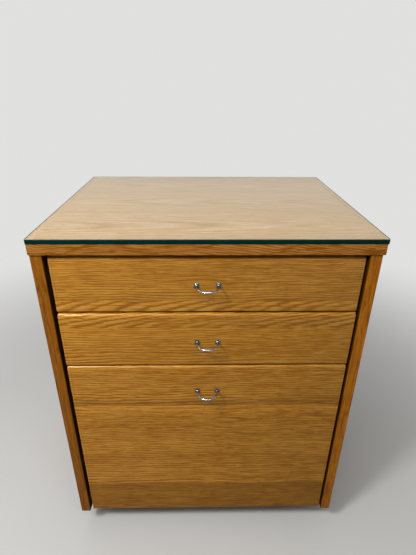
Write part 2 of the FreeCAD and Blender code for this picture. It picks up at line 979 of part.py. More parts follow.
def make_caster_plates():
    """The top plates of the casters, each with its race and the rivet it swivels on."""
    plates = []
    half = "caster_plate / 2"
    for x, y in CASTERS.values():
        low = (f"({x}) - {half}", f"({y}) - {half}", "plate_base")
        high = (f"({x}) + {half}", f"({y}) + {half}", "caster_height")
        plate = board("plate", low, high)
        holes = new_sketch(plate, "XY")
        inset = "(caster_plate - caster_screw_spacing) / 2"
        for u in (inset, f"caster_plate - {inset}"):
            for v in (inset, f"caster_plate - {inset}"):
                draw_circle(holes, (u, v), "screw_radius + screw_play")
        pocket(plate, holes, reverse=True)
        up = (0, 0, 1)
        race = rod("race_radius", "race_height", up, x, y, "race_base")
        rivet = rod("rivet_radius", "race_base - rivet_base", up, x, y, "rivet_base")
        head = rod(
            "rivet_head_radius", "rivet_head_height", up, x, y, "rivet_base"
        )
        plates.append(fused([plate, race, rivet, head]))
    group("caster_plates", plates)


def make_caster_screws():
    """Four screws through each caster plate, up into the bottom panel."""
    screws = [
        wood_screw("caster_screw_length", (0, 0, 1), x, y, "plate_base")
        for x, y in caster_screw_places()
    ]
    group("caster_screws", screws)


def make_fork(name, x, y):
    """A caster fork: two legs down to the axle, under a round crown that takes the rivet."""
    body = new_body("fork")
    side_view = new_sketch(body, "YZ")
    rear = "caster_trail"
    draw_outline(
        side_view,
        [
            ("-fork_front", "crown_top"),
            ("-fork_front", "crown_top - fork_shoulder"),
            (f"{rear} - fork_leg_half", "wheel_radius"),
            (f"{rear} - fork_leg_half", "wheel_radius - fork_leg_end + fork_end_cut"),
            (f"{rear} - fork_leg_half + fork_end_cut", "wheel_radius - fork_leg_end"),
            (f"{rear} + fork_leg_half - fork_end_cut", "wheel_radius - fork_leg_end"),
            (f"{rear} + fork_leg_half", "wheel_radius - fork_leg_end + fork_end_cut"),
            (f"{rear} + fork_leg_half", "wheel_radius"),
            ("fork_rear", "crown_top - fork_shoulder"),
            ("fork_rear", "crown_top"),
        ],
    )
    pad(body, side_view, "fork_width", both=True)
    slot = new_sketch(body, "XZ")
    draw_rectangle(
        slot, ("-fork_inner / 2", "0"), ("fork_inner / 2", "crown_base")
    )
    pocket(body, slot, both=True)
    crown = new_sketch(body, "XY", "crown_base")
    draw_circle(crown, ("0", "0"), "race_radius")
    pad(body, crown, "fork_steel")
    rivet_hole = new_sketch(body, "XY", "crown_top")
    draw_circle(rivet_hole, ("0", "0"), "rivet_radius + swivel_play")
    pocket(body, rivet_hole)
    axle_hole = new_sketch(body, "YZ")
    draw_circle(axle_hole, (rear, "wheel_radius"), "axle_radius + axle_play")
    pocket(body, axle_hole, both=True)
    put(body, x, y, "0")
    keep(f"caster_{name}_fork", body)


def make_axle(name, x, y):
    """The axle through the fork's legs, headed at both ends."""
    across = (1, 0, 0)
    along = f"({y}) + caster_trail"
    half = "fork_width / 2"
    level = "wheel_radius"
    shaft = rod("axle_radius", "fork_width", across, f"({x}) - {half}", along, level)
    heads = [
        rod("axle_head_radius", "axle_head_height", across, start, along, level)
        for start in (f"({x}) + {half}", f"({x}) - {half} - axle_head_height")
    ]
    keep(f"caster_{name}_axle", fused([shaft] + heads))


def make_wheel(name, x, y):
    """A turned wheel: hub, thin web, rim and tread with eased edges."""
    body = new_body("wheel")
    section = new_sketch(body, "XZ")
    hub, web, tread = "hub_width / 2", "web_width / 2", "tread_width / 2"
    bore = "axle_radius + axle_play"
    half = [
        (hub, bore),
        (hub, "hub_radius"),
        (web, "hub_radius"),
        (web, "rim_radius"),
        (tread, "rim_radius"),
        (tread, "wheel_radius - tread_rounding"),
        (f"{tread} - tread_rounding", "wheel_radius"),
    ]
    other = [(f"-({u})", v) for u, v in reversed(half)]
    draw_outline(section, half + other)
    turned = body.newObject("PartDesign::Revolution", "Turned")
    turned.Profile = section
    axis = next(f for f in body.Origin.OriginFeatures if f.Role == "X_Axis")
    turned.ReferenceAxis = (axis, [""])
    turned.Angle = 360
    put(body, x, f"({y}) + caster_trail", "wheel_radius")
    keep(f"caster_{name}_wheel", body)


def check_document():
    """Stops if any object of the document failed, or any node's shape isn't sound."""
    for thing in doc.Objects:
        if "Invalid" in thing.State or "Error" in thing.State:
            raise RuntimeError(f"{thing.Name} ({thing.Label}) failed: {thing.State}")
    for name, thing in nodes.items():
        if thing.Shape.isNull() or not thing.Shape.isValid():
            raise RuntimeError(f"{name} has no valid shape")
        if not thing.Shape.Solids:
            raise RuntimeError(f"{name} has no solid")


def write_nodes():
    """Writes each node to its own file."""
    os.makedirs("parts", exist_ok=True)
    for name, thing in nodes.items():
        thing.Shape.exportStep(f"parts/{name}.step")
    print(f"{len(nodes)} nodes written")


def main():
    """Builds the cabinet from the carcass inwards and writes its nodes."""
    fill_sheet()
    make_side_panels()
    make_top_panel()
    make_rails()
    make_glass()
    make_back_and_bottom()
    make_slides()
    make_carcass_screws()
    for which in DRAWERS:
        make_drawer_front(which)
        make_box_side(which)
        make_box_ends(which)
        make_box_floor(which)
        make_box_screws(which)
        make_handle(which)
        make_handle_screws(which)
    make_file_rails()
    make_caster_plates()
    make_caster_screws()
    for name, (x, y) in CASTERS.items():
        make_fork(name, x, y)
        make_axle(name, x, y)
        make_wheel(name, x, y)
    doc.recompute()
    check_document()
    write_nodes()


main()
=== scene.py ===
"""Looks of the oak rolling cabinet: wood, glass, bow handles, slides, casters and a plain studio.

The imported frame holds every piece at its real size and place. This script gives each of them its
finish, and makes anew the pieces whose look needs a finer shape. Lengths are in metres, +X to the
right seen from the front, +Y to the back and +Z up.
"""
import logging
import math
from dataclasses import dataclass
from enum import Enum

import bmesh
import bpy
from mathutils import Matrix, Vector

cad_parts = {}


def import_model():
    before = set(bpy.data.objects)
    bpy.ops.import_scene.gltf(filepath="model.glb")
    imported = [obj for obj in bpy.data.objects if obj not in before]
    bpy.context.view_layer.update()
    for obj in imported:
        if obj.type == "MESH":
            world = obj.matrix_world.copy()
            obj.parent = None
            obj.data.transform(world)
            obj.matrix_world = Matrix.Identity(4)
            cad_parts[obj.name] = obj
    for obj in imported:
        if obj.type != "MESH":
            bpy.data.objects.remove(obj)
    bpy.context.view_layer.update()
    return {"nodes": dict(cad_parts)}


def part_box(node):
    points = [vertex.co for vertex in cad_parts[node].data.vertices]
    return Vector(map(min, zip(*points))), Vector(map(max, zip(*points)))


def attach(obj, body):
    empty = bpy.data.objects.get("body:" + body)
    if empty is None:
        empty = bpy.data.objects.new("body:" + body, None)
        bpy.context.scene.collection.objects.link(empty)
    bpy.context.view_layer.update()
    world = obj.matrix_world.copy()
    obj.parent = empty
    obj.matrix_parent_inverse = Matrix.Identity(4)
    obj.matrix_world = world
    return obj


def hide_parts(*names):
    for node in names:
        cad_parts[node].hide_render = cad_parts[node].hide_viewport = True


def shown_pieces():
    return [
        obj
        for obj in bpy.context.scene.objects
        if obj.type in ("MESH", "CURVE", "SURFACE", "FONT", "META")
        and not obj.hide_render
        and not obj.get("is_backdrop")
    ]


LOG = logging.getLogger("cabinet")
MM = 0.001
# The boards' places are coded as shares of these stretches: up a front, and from front to back.
HEIGHTS = (0.0, 0.7)
DEPTHS = (-0.25, 0.25)
# How wide the lippings are at the front and the rear edge of each panel.
LIPPING = 9.5 * MM

Socket = bpy.types.NodeSocket
Colour = tuple[float, float, float]
Triple = tuple[float, float, float]

# How much darker the top's lippings are than its veneer.
EDGE_TINT: Colour = (0.635, 0.385, 0.13)


class Cut(Enum):
    """How a board was sawn: its axes along the grain, across the face and into the thickness."""

    FRONT = (0, 2, 1)
    TOP = (0, 1, 2)
    SIDE = (2, 1, 0)
    BOX_SIDE = (1, 2, 0)
    BACK = (2, 0, 1)


class Side(Enum):
    """The two sides of the cabinet, with the sign of their X."""

    LEFT = -1
    RIGHT = 1


class GlassPart(Enum):
    """The parts of the glass plate, with the number of their material slot."""

    BROAD = 0
    RIM = 1
    SHADED = 2
    ARRIS = 3
    LINE = 4


@dataclass
class Nodes:
    """Writes a tree of shader nodes, step by step."""

    tree: bpy.types.NodeTree

    def node(self, kind: str, inputs: dict | None = None, **settings: object) -> bpy.types.Node:
        """Adds a node.

        Args:
            kind: The node's type without its Shader prefix.
            inputs: What goes into its sockets, by name or number: a socket or a plain value.
            settings: Values of the node's own properties.

        Returns:
            The new node.
        """
        made = self.tree.nodes.new("ShaderNode" + kind)
        for key, value in settings.items():
            setattr(made, key, value)
        for key, value in (inputs or {}).items():
            self.feed(made.inputs[key], value)
        return made

    def feed(self, socket: Socket, value: object) -> None:
        """Links a socket to another one, or sets its plain value.

        Args:
            socket: The socket to fill.
            value: The other socket or the plain value.
        """
        if isinstance(value, bpy.types.NodeSocket):
            self.tree.links.new(value, socket)
        else:
            socket.default_value = value

    def place(self) -> Socket:
        """The point on the piece, in its own frame."""
        return self.node("TexCoord").outputs["Object"]

    def math(self, operation: str, *values: object) -> Socket:
        """One arithmetic step on numbers."""
        return self.node("Math", dict(enumerate(values)), operation=operation).outputs[0]

    def total(self, first: object, *others: tuple[object, float]) -> Socket:
        """A first number plus others, each times its weight.

        Args:
            first: The first number or its socket.
            others: Each other number's socket with its weight.

        Returns:
            The sum's socket.
        """
        for value, weight in others:
            first = self.math("MULTIPLY_ADD", value, weight, first)
        return first

    def vector(self, operation: str, *values: object) -> Socket:
        """One arithmetic step on vectors."""
        made = self.node("VectorMath", dict(enumerate(values)), operation=operation)
        return made.outputs["Value" if operation in ("LENGTH", "DISTANCE") else "Vector"]

    def parts(self, point: Socket) -> list[Socket]:
        """The three numbers of a vector."""
        return list(self.node("SeparateXYZ", {0: point}).outputs)

    def joined(self, *numbers: object) -> Socket:
        """A vector from three numbers."""
        return self.node("CombineXYZ", dict(enumerate(numbers))).outputs[0]

    def noise(self, point: Socket, scales: Triple, detail: float = 2.0) -> Socket:
        """Soft noise about one half, with its own scale along each axis."""
        stretched = self.vector("MULTIPLY", point, scales)
        return self.node("TexNoise", {"Vector": stretched, "Scale": 1.0, "Detail": detail}).outputs[0]

    def ramp(self, value: Socket, stops: list[tuple[float, Colour]], steps: bool = False) -> Socket:
        """A colour for each value from 0 to 1, blended between the stops or in steps.

        Args:
            value: The value's socket.
            stops: Each stop's place from 0 to 1 and its colour, in rising order.
            steps: True to hold each colour up to the next stop.

        Returns:
            The colour's socket.
        """
        made = self.node("ValToRGB", {0: value})
        scale = made.color_ramp
        scale.interpolation = "CONSTANT" if steps else "LINEAR"
        while len(scale.elements) < len(stops):
            scale.elements.new(0.5)
        while len(scale.elements) > len(stops):
            scale.elements.remove(scale.elements[-1])
        for element, (position, colour) in zip(scale.elements, stops):
            element.position = position
            element.color = (*colour, 1.0)
        return made.outputs[0]

    def clouded(
        self,
        colour: Colour,
        scale: float,
        low: float,
        high: float,
        detail: float = 2.0,
    ) -> Socket:
        """A colour that turns a little darker or paler in soft clouds, in the piece's own frame.

        Args:
            colour: The colour.
            scale: How many clouds there are to a metre.
            low: What the colour is multiplied by in the one sort of cloud.
            high: What it is multiplied by in the other sort.
            detail: How rough the clouds' edges are.

        Returns:
            The colour's socket.
        """
        cloud = self.noise(self.place(), (scale,) * 3, detail)
        first, last = (tuple(share * part for part in colour) for share in (low, high))
        return self.ramp(cloud, [(0.3, first), (0.7, last)])

    def levels(self, value: Socket, *stops: tuple[float, float]) -> Socket:
        """A grey level for each value from 0 to 1, blended between the stops."""
        return self.ramp(value, [(place, (grey,) * 3) for place, grey in stops])

    def spread(self, value: Socket, low: float, high: float) -> Socket:
        """The values from low to high, stretched to run from 0 to 1."""
        return self.node("MapRange", {"Value": value, "From Min": low, "From Max": high}).outputs[0]

    def tinted(self, colour: object, other: object, share: object, blend: str = "MULTIPLY") -> Socket:
        """One colour blended over another."""
        made = self.node("Mix", {0: share, 6: colour, 7: other}, data_type="RGBA", blend_type=blend)
        return made.outputs[2]

    def bumped(self, height: Socket, strength: float, distance: float) -> Socket:
        """A surface normal from a height."""
        inputs = {"Height": height, "Strength": strength, "Distance": distance}
        return self.node("Bump", inputs).outputs[0]


class Shader(Nodes):
    """Writes one material, with a Principled shader at its end."""

    def __init__(self, name: str) -> None:
        """Makes the empty material with its output and its Principled shader.

        Args:
            name: The material's name.
        """
        self.material = bpy.data.materials.new(name)
        self.material.use_nodes = True
        super().__init__(self.material.node_tree)
        self.tree.nodes.clear()
        self.output = self.node("OutputMaterial")
        self.surface = self.node("BsdfPrincipled")
        self.feed(self.output.inputs[0], self.surface.outputs[0])

    def finish(self, **sockets: object) -> bpy.types.Material:
        """Fills the Principled shader's sockets, with _ for the blanks in their names.

        Args:
            sockets: A socket or a plain value for each.

        Returns:
            The finished material.
        """
        for key, value in sockets.items():
            self.feed(self.surface.inputs[key.replace("_", " ")], value)
        return self.material


@dataclass(frozen=True)
class Board:
    """One of the strips that a panel is made up from, placed by its lower edge across the face.

    The figure is a family of arches round the line where across equals heart. Along the grain one
    follows another at the given rate, and bend says how fast they close up away from that line.
    Step says how much paler the wood is just below the board's lower edge than just above it.
    """

    base: float
    tone: float | Colour = 1.0
    heart: float = -0.12
    rate: float = 0.6
    bend: float = 700.0
    figure: float = 0.35
    contrast: float = 1.0
    step: float = 0.08

    def tint(self) -> Colour:
        """The tone as a colour to multiply by."""
        return (self.tone,) * 3 if isinstance(self.tone, float) else self.tone


@dataclass(frozen=True)
class Oak:
    """Honey-coloured oak under satin varnish, as one solid pattern of rings, fibres and pores.

    Span is the stretch that the boards' places are coded as shares of, and face is where the outer
    face lies. Ends are the panel's two ends along the grain, and marks are its knots and stains.
    Inner shade depth is how deep the inner face lies, which is darkened as painted shade, and rim
    holds the ends and the rear edge where the lipping is darker. Fade is how much darker the wood is
    painted from one end of its run to the other, as painted shade where the light falls off, and the
    arches are weaker there too. Rates, bends and hearts are the ranges of the boards' values of those
    names.
    """

    name: str
    cut: Cut
    span: tuple[float, float]
    face: float
    boards: tuple[Board, ...]
    seed: float = 0.0
    light: Colour = (0.465, 0.219, 0.027)
    middle: Colour = (0.365, 0.150, 0.004)
    dark: Colour = (0.250, 0.080, 0.000)
    ends: tuple[float, float] | None = None
    end_strip: float = 4.5 * MM
    marks: tuple[tuple[float, float, float, float], ...] = ()
    inner_shade_depth: float | None = None
    rim: Triple | None = None
    rim_tint: Colour = EDGE_TINT
    fade: float = 0.0
    run: tuple[float, float] = (-0.25, 0.25)
    gloss: float = 0.5
    varnish: float = 0.16
    rates: tuple[float, float] = (-40.0, 40.0)
    bends: tuple[float, float] = (0.0, 4000.0)
    hearts: tuple[float, float] = (-1.0, 1.0)

    def material(self) -> bpy.types.Material:
        """Builds the wood's node material.

        Returns:
            The finished material.
        """
        shader = Shader(self.name)
        axes = shader.parts(shader.place())
        along, across, deep = (axes[index] for index in self.cut.value)
        level = shader.spread(across, *self.span)
        shift, strength, contrast = self.traits(shader, level)
        point = self.swayed(shader, along, across, shader.math("SUBTRACT", deep, self.face))
        rings = self.rings(shader, point, level)
        point = shader.vector("ADD", point, shader.joined(shift, 0.0, self.seed))
        hair = shader.noise(point, (32.0, 950.0, 950.0), 2.0)
        fine = shader.noise(point, (19.0, 470.0, 470.0), 2.0)
        broad = shader.noise(point, (5.0, 80.0, 80.0), 2.0)
        lines = self.lines(shader, point)
        figure = shader.total(0.0, (hair, 0.44), (fine, 0.42), (broad, 0.14))
        # The arches weaken along the same run as the painted shade below.
        patches = shader.total(shader.noise(point, (7.0, 14.0, 14.0), 1.0), (along, -3.5 * self.fade))
        patches = shader.levels(patches, (0.36, 0.3), (0.6, 1.35))
        swing = shader.math("MULTIPLY", shader.math("SUBTRACT", rings, 0.58), strength)
        swing = shader.math("MULTIPLY", swing, patches)
        figure = shader.total(figure, (swing, 0.50), (lines, -0.28))
        figure = shader.math("MULTIPLY_ADD", shader.math("SUBTRACT", figure, 0.5), contrast, 0.5)
        colour = shader.ramp(figure, [(0.35, self.dark), (0.5, self.middle), (0.60, self.light)])
        pores = self.pores(shader, point, rings)
        colour = shader.tinted(colour, (0.55, 0.40, 0.10, 1.0), pores)
        clouds = shader.noise(point, (2.5, 20.0, 20.0), 2.0)
        colour = shader.tinted(colour, shader.levels(clouds, (0.3, 0.90), (0.7, 1.0)), 1.0)
        # Painted shade: the wood is painted darker towards the far end of its run, where the light falls
        # off.
        fade = shader.levels(shader.spread(along, *self.run), (0.0, 1.0), (1.0, 1.0 - self.fade))
        colour = shader.tinted(colour, fade, 1.0)
        tints = [(self.share(board.base), board.tint()) for board in self.boards]
        colour = shader.tinted(colour, shader.ramp(level, tints, steps=True), 1.0)
        colour = self.seamed(shader, colour, along, across)
        for mark in self.marks:
            colour = self.marked(shader, colour, along, across, mark)
        # Painted shade: the inner face is darkened where it lies in the narrow gap beside the drawers.
        if self.inner_shade_depth is not None:
            colour = self.lined(shader, colour, deep)
        if self.rim is not None:
            colour = self.rimmed(shader, colour, along, across)
        relief = shader.total(0.0, (fine, 0.5), (pores, -0.8))
        return shader.finish(
            Base_Color=colour,
            Roughness=shader.levels(fine, (0.3, 0.40), (0.7, 0.32)),
            Specular_IOR_Level=self.gloss,
            Specular_Tint=(1.0, 0.80, 0.48, 1.0),
            Coat_Weight=self.varnish,
            Coat_Roughness=0.12,
            Normal=shader.bumped(relief, 0.10, 0.25 * MM),
        )

    def lines(self, shader: Shader, point: Socket) -> Socket:
        """Thin dark lines that run with the grain and break off and start again.

        Args:
            shader: The material in the making.
            point: The point in the wood.

        Returns:
            How much of a line the point is, from 0 to 1.
        """
        across = shader.parts(point)[1]
        wander = shader.noise(point, (7.0, 70.0, 70.0), 1.0)
        turn = shader.math("FRACT", shader.total(0.0, (across, 215.0), (wander, 3.0)))
        thin = shader.levels(turn, (0.0, 1.0), (0.15, 0.0), (0.85, 0.0), (1.0, 1.0))
        breaks = shader.noise(point, (18.0, 240.0, 240.0), 1.0)
        return shader.math("MULTIPLY", thin, shader.levels(breaks, (0.42, 0.0), (0.56, 1.0)))

    def traits(self, shader: Shader, level: Socket) -> list[Socket]:
        """Each board's shift along the grain, the strength of its figure and its contrast.

        Args:
            shader: The material in the making.
            level: How far across the face the point lies, from 0 to 1.

        Returns:
            The three numbers' sockets.
        """
        stops = []
        for index, board in enumerate(self.boards):
            shift = (0.37 * index + self.seed) % 1.0
            stops.append((self.share(board.base), (shift, board.figure, board.contrast)))
        return list(shader.node("SeparateColor", {0: shader.ramp(level, stops, steps=True)}).outputs)

    def share(self, across: float) -> float:
        """Turns a place across the face into a share of its span."""
        low, high = self.span
        return (across - low) / (high - low)

    def swayed(self, shader: Shader, along: Socket, across: Socket, deep: Socket) -> Socket:
        """The point in the wood, moved a little off its line as real fibres wander.

        Args:
            shader: The material in the making.
            along: The place along the grain.
            across: The place across the face.
            deep: The place into the thickness.

        Returns:
            The moved point's socket.
        """
        point = shader.joined(along, across, deep)
        slow = self.sway(shader, point, (4.5, 16.0, 16.0), 16.0 * MM)
        quick = self.sway(shader, point, (28.0, 60.0, 60.0), 3.0 * MM)
        return shader.vector("ADD", point, shader.vector("ADD", slow, quick))

    def sway(self, shader: Shader, point: Socket, scales: Triple, reach: float) -> Socket:
        """One soft sideways sway of the fibres.

        Args:
            shader: The material in the making.
            point: The point on its straight line.
            scales: How often the sway turns, along each axis.
            reach: How far it goes from side to side.

        Returns:
            The socket of the way that the point moves.
        """
        stretched = shader.vector("MULTIPLY", point, scales)
        cloud = shader.node("TexNoise", {"Vector": stretched, "Scale": 1.0})
        swing = shader.vector("SUBTRACT", cloud.outputs[1], (0.5,) * 3)
        return shader.vector("MULTIPLY", swing, (0.0, reach, reach))

    def rings(self, shader: Shader, point: Socket, level: Socket) -> Socket:
        """The year rings, cut by the face into arches or lines.

        Args:
            shader: The material in the making.
            point: The point in the wood.
            level: How far across the face the point lies, from 0 to 1.

        Returns:
            The brightness of the ring at the point, about one half.
        """
        stops = []
        for board in self.boards:
            scaled = zip((board.rate, board.bend, board.heart), (self.rates, self.bends, self.hearts))
            coded = tuple((value - low) / (high - low) for value, (low, high) in scaled)
            stops.append((self.share(board.base), coded))
        codes = shader.node("SeparateColor", {0: shader.ramp(level, stops, steps=True)}).outputs
        decoded = []
        for code, (low, high) in zip(codes, (self.rates, self.bends, self.hearts)):
            decoded.append(shader.math("MULTIPLY_ADD", code, high - low, low))
        rate, bend, heart = decoded
        along, across, deep = shader.parts(point)
        off = shader.math("SUBTRACT", shader.total(across, (deep, 0.6)), heart)
        squared = shader.math("MULTIPLY", off, off)
        years = shader.math("MULTIPLY_ADD", squared, bend, shader.math("MULTIPLY", along, rate))
        turn = shader.math("FRACT", years)
        return shader.levels(turn, (0.0, 0.12), (0.22, 0.55), (0.6, 0.82), (0.86, 0.62), (1.0, 0.12))

    def pores(self, shader: Shader, point: Socket, rings: Socket) -> Socket:
        """Short dark pores that follow the grain, thickest in the dark part of each ring.

        Args:
            shader: The material in the making.
            point: The point in the wood.
            rings: The brightness of the rings.

        Returns:
            How much of a pore the point is, from 0 to 1.
        """
        dashes = shader.noise(point, (60.0, 1300.0, 1300.0), 1.0)
        likely = shader.total(dashes, (rings, -0.10))
        return shader.levels(likely, (0.53, 0.0), (0.66, 0.75))

    def seamed(self, shader: Shader, colour: Socket, along: Socket, across: Socket) -> Socket:
        """The seams between the boards, and the paler strips at the panel's ends.

        Args:
            shader: The material in the making.
            colour: The wood's colour so far.
            along: The place along the grain.
            across: The place across the face.

        Returns:
            The colour with its seams.
        """
        reach = 22.0 * MM
        for board in self.boards[1:]:
            step = board.step
            near = shader.spread(across, board.base - reach, board.base + reach)
            below = [(0.0, 1.0), (0.25, 1.0 + 0.25 * step), (0.48, 1.0 + 0.5 * step)]
            above = [(0.51, 0.96 - 0.5 * step), (0.70, 1.0 - 0.4 * step), (1.0, 1.0)]
            colour = shader.tinted(colour, shader.levels(near, *below, *above), 1.0)
        if self.ends is None:
            return colour
        low, high = self.ends
        for edge, inwards in ((low, 1.0), (high, -1.0)):
            near = shader.spread(along, edge, edge + inwards * 2.0 * self.end_strip)
            strip = shader.levels(near, (0.0, 1.06), (0.40, 1.06), (0.50, 0.74), (0.62, 1.0))
            colour = shader.tinted(colour, strip, 1.0)
        return colour

    def marked(
        self,
        shader: Shader,
        colour: Socket,
        along: Socket,
        across: Socket,
        mark: tuple[float, float, float, float],
    ) -> Socket:
        """A small knot or stain, drawn as a soft dark spot.

        Args:
            shader: The material in the making.
            colour: The wood's colour so far.
            along: The place along the grain.
            across: The place across the face.
            mark: The spot's place along and across, its half length and its half height.

        Returns:
            The colour with the spot.
        """
        middle_along, middle_across, length, height = mark
        east = shader.math("DIVIDE", shader.math("SUBTRACT", along, middle_along), length)
        north = shader.math("DIVIDE", shader.math("SUBTRACT", across, middle_across), height)
        reach = shader.vector("LENGTH", shader.joined(east, north, 0.0))
        return shader.tinted(colour, shader.levels(reach, (0.2, 0.5), (1.0, 1.0)), 1.0)

    def rimmed(self, shader: Shader, colour: Socket, along: Socket, across: Socket) -> Socket:
        """The outer edges, whose lipping is darker than the veneer.

        Args:
            shader: The material in the making.
            colour: The wood's colour so far.
            along: The place along the grain.
            across: The place across the face.

        Returns:
            The colour with its darker edges.
        """
        first, last, rear = self.rim
        for value, edge in ((along, first), (along, last), (across, rear)):
            off = shader.math("ABSOLUTE", shader.math("SUBTRACT", value, edge))
            near = shader.spread(off, 0.6 * MM, 0.1 * MM)
            colour = shader.tinted(colour, (*self.rim_tint, 1.0), near)
        return colour

    def lined(self, shader: Shader, colour: Socket, deep: Socket) -> Socket:
        """The inner face, darkened as painted shade of the narrow gap beside the drawers.

        Args:
            shader: The material in the making.
            colour: The wood's colour so far.
            deep: The place into the thickness.

        Returns:
            The colour with its painted shade.
        """
        depth = shader.math("ABSOLUTE", shader.math("SUBTRACT", deep, self.face))
        near = shader.spread(depth, self.inner_shade_depth - 1.2 * MM, self.inner_shade_depth)
        return shader.tinted(colour, shader.levels(near, (0.0, 1.0), (0.8, 0.55), (0.95, 0.22)), 1.0)


@dataclass(frozen=True)
class PlainWood:
    """Pale solid wood of the drawer boxes and rails, clear sealed."""

    name: str
    cut: Cut
    light: Colour = (0.66, 0.46, 0.25)
    dark: Colour = (0.50, 0.32, 0.15)

    def material(self) -> bpy.types.Material:
        """Builds the wood's node material.

        Returns:
            The finished material.
        """
        shader = Shader(self.name)
        axes = shader.parts(shader.place())
        point = shader.joined(*(axes[index] for index in self.cut.value))
        broad = shader.noise(point, (5.0, 60.0, 60.0), 3.0)
        fine = shader.noise(point, (30.0, 700.0, 700.0), 2.0)
        mixed = shader.total(0.0, (broad, 0.7), (fine, 0.3))
        return shader.finish(
            Base_Color=shader.ramp(mixed, [(0.3, self.dark), (0.7, self.light)]),
            Roughness=0.5,
            Normal=shader.bumped(fine, 0.08, 0.2 * MM),
        )


@dataclass(frozen=True)
class Metal:
    """A bare or plated metal, with faint unevenness in its gloss."""

    name: str
    colour: Colour
    roughness: float
    grain: float = 900.0

    def material(self) -> bpy.types.Material:
        """Builds the metal's node material.

        Returns:
            The finished material.
        """
        shader = Shader(self.name)
        cloud = shader.noise(shader.place(), (self.grain,) * 3, 2.0)
        low, high = 0.8 * self.roughness, 1.2 * self.roughness
        duller = tuple(0.92 * part for part in self.colour)
        return shader.finish(
            Base_Color=shader.ramp(cloud, [(0.35, duller), (0.65, self.colour)]),
            Metallic=1.0,
            Roughness=shader.levels(cloud, (0.35, low), (0.65, high)),
        )


@dataclass(frozen=True)
class Coating:
    """A dull dark coat or moulded plastic, with a fine texture."""

    name: str
    colour: Colour
    roughness: float
    texture: float = 1400.0

    def material(self) -> bpy.types.Material:
        """Builds the coating's node material.

        Returns:
            The finished material.
        """
        shader = Shader(self.name)
        speckle = shader.noise(shader.place(), (self.texture,) * 3, 2.0)
        darker = tuple(0.8 * part for part in self.colour)
        return shader.finish(
            Base_Color=shader.ramp(speckle, [(0.35, darker), (0.65, self.colour)]),
            Roughness=self.roughness,
            Normal=shader.bumped(speckle, 0.1, 0.1 * MM),
        )


@dataclass(frozen=True)
class PlateGlass:
    """Float glass: clear faces that mirror what is beyond them, and a deep green polished edge."""

    name: str
    tint: Colour = (0.985, 0.995, 0.985)
    edge: Colour = (0.0003, 0.0115, 0.0086)
    shade: Colour = (0.41, 0.27, 0.13)
    within: Colour = (0.97, 0.985, 0.96)
    arris: Colour = (0.02, 0.05, 0.045)
    arris_within: Colour = (0.035, 0.037, 0.033)
    head_on: float = 0.04

    def faces(self) -> bpy.types.Material:
        """Builds the material of the two broad faces: a clear sheet with a mirror over it.

        Returns:
            The finished material.
        """
        shader = Shader(self.name + "_face")
        facing = shader.node("LayerWeight", {"Blend": 0.5}).outputs["Facing"]
        grazing = shader.math("POWER", facing, 5.0)
        share = shader.math("MULTIPLY_ADD", grazing, 1.0 - self.head_on, self.head_on)
        outside = shader.math("SUBTRACT", 1.0, shader.node("NewGeometry").outputs["Backfacing"])
        share = shader.math("MULTIPLY", share, outside)
        clear = shader.node("BsdfTransparent", {0: (*self.tint, 1.0)})
        mirror = shader.node("BsdfAnisotropic", {"Color": (1.0, 1.0, 1.0, 1.0), "Roughness": 0.0})
        sheet = shader.node("MixShader", {0: share, 1: clear.outputs[0], 2: mirror.outputs[0]})
        shader.feed(shader.output.inputs[0], sheet.outputs[0])
        shader.tree.nodes.remove(shader.surface)
        return shader.material

    def shaded(self) -> bpy.types.Material:
        """Builds the material of the strip under the overhang: an opaque dull wood tone, as painted shade.

        Returns:
            The finished material.
        """
        shader = Shader(self.name + "_shade")
        colour = shader.clouded(self.shade, 60.0, 0.8, 1.0)
        return shader.finish(Base_Color=colour, Roughness=0.8, Specular_IOR_Level=0.0)

    def ground(self) -> bpy.types.Material:
        """Builds the material of the ground arris, dark green from outside and grey from within.

        Returns:
            The finished material.
        """
        shader = Shader(self.name + "_arris")
        shader.finish(Base_Color=shader.clouded(self.arris, 200.0, 0.8, 1.0), Roughness=0.3)
        inner = shader.node("BsdfDiffuse", {0: (*self.arris_within, 1.0)})
        within = shader.node("NewGeometry").outputs["Backfacing"]
        strip = shader.node("MixShader", {0: within, 1: shader.surface.outputs[0], 2: inner.outputs[0]})
        shader.feed(shader.output.inputs[0], strip.outputs[0])
        return shader.material

    def lined(self) -> bpy.types.Material:
        """Builds the material of the thin dark line that the arris draws round the upper face.

        Returns:
            The finished material.
        """
        shader = Shader(self.name + "_line")
        colour = shader.clouded(self.arris_within, 200.0, 0.8, 1.0)
        return shader.finish(Base_Color=colour, Roughness=0.5, Specular_IOR_Level=0.1)

    def edges(self) -> bpy.types.Material:
        """Builds the material of the rim: deep green from outside, and a mirror from within.

        Returns:
            The finished material.
        """
        shader = Shader(self.name + "_edge")
        green = shader.clouded(self.edge, 30.0, 1.0, 1.3)
        shader.finish(Base_Color=green, Roughness=0.12, Specular_IOR_Level=0.03)
        inner = shader.node("BsdfAnisotropic", {"Color": (*self.within, 1.0), "Roughness": 0.0})
        within = shader.node("NewGeometry").outputs["Backfacing"]
        rim = shader.node("MixShader", {0: within, 1: shader.surface.outputs[0], 2: inner.outputs[0]})
        shader.feed(shader.output.inputs[0], rim.outputs[0])
        return shader.material


def dress(piece: bpy.types.Object, *materials: bpy.types.Material) -> None:
    """Gives a piece its materials, in the slots that it has and then in new ones.

    Args:
        piece: The piece to dress.
        materials: One material for each slot.
    """
    for index, material in enumerate(materials):
        if index < len(piece.material_slots):
            piece.material_slots[index].material = material
        else:
            piece.data.materials.append(material)


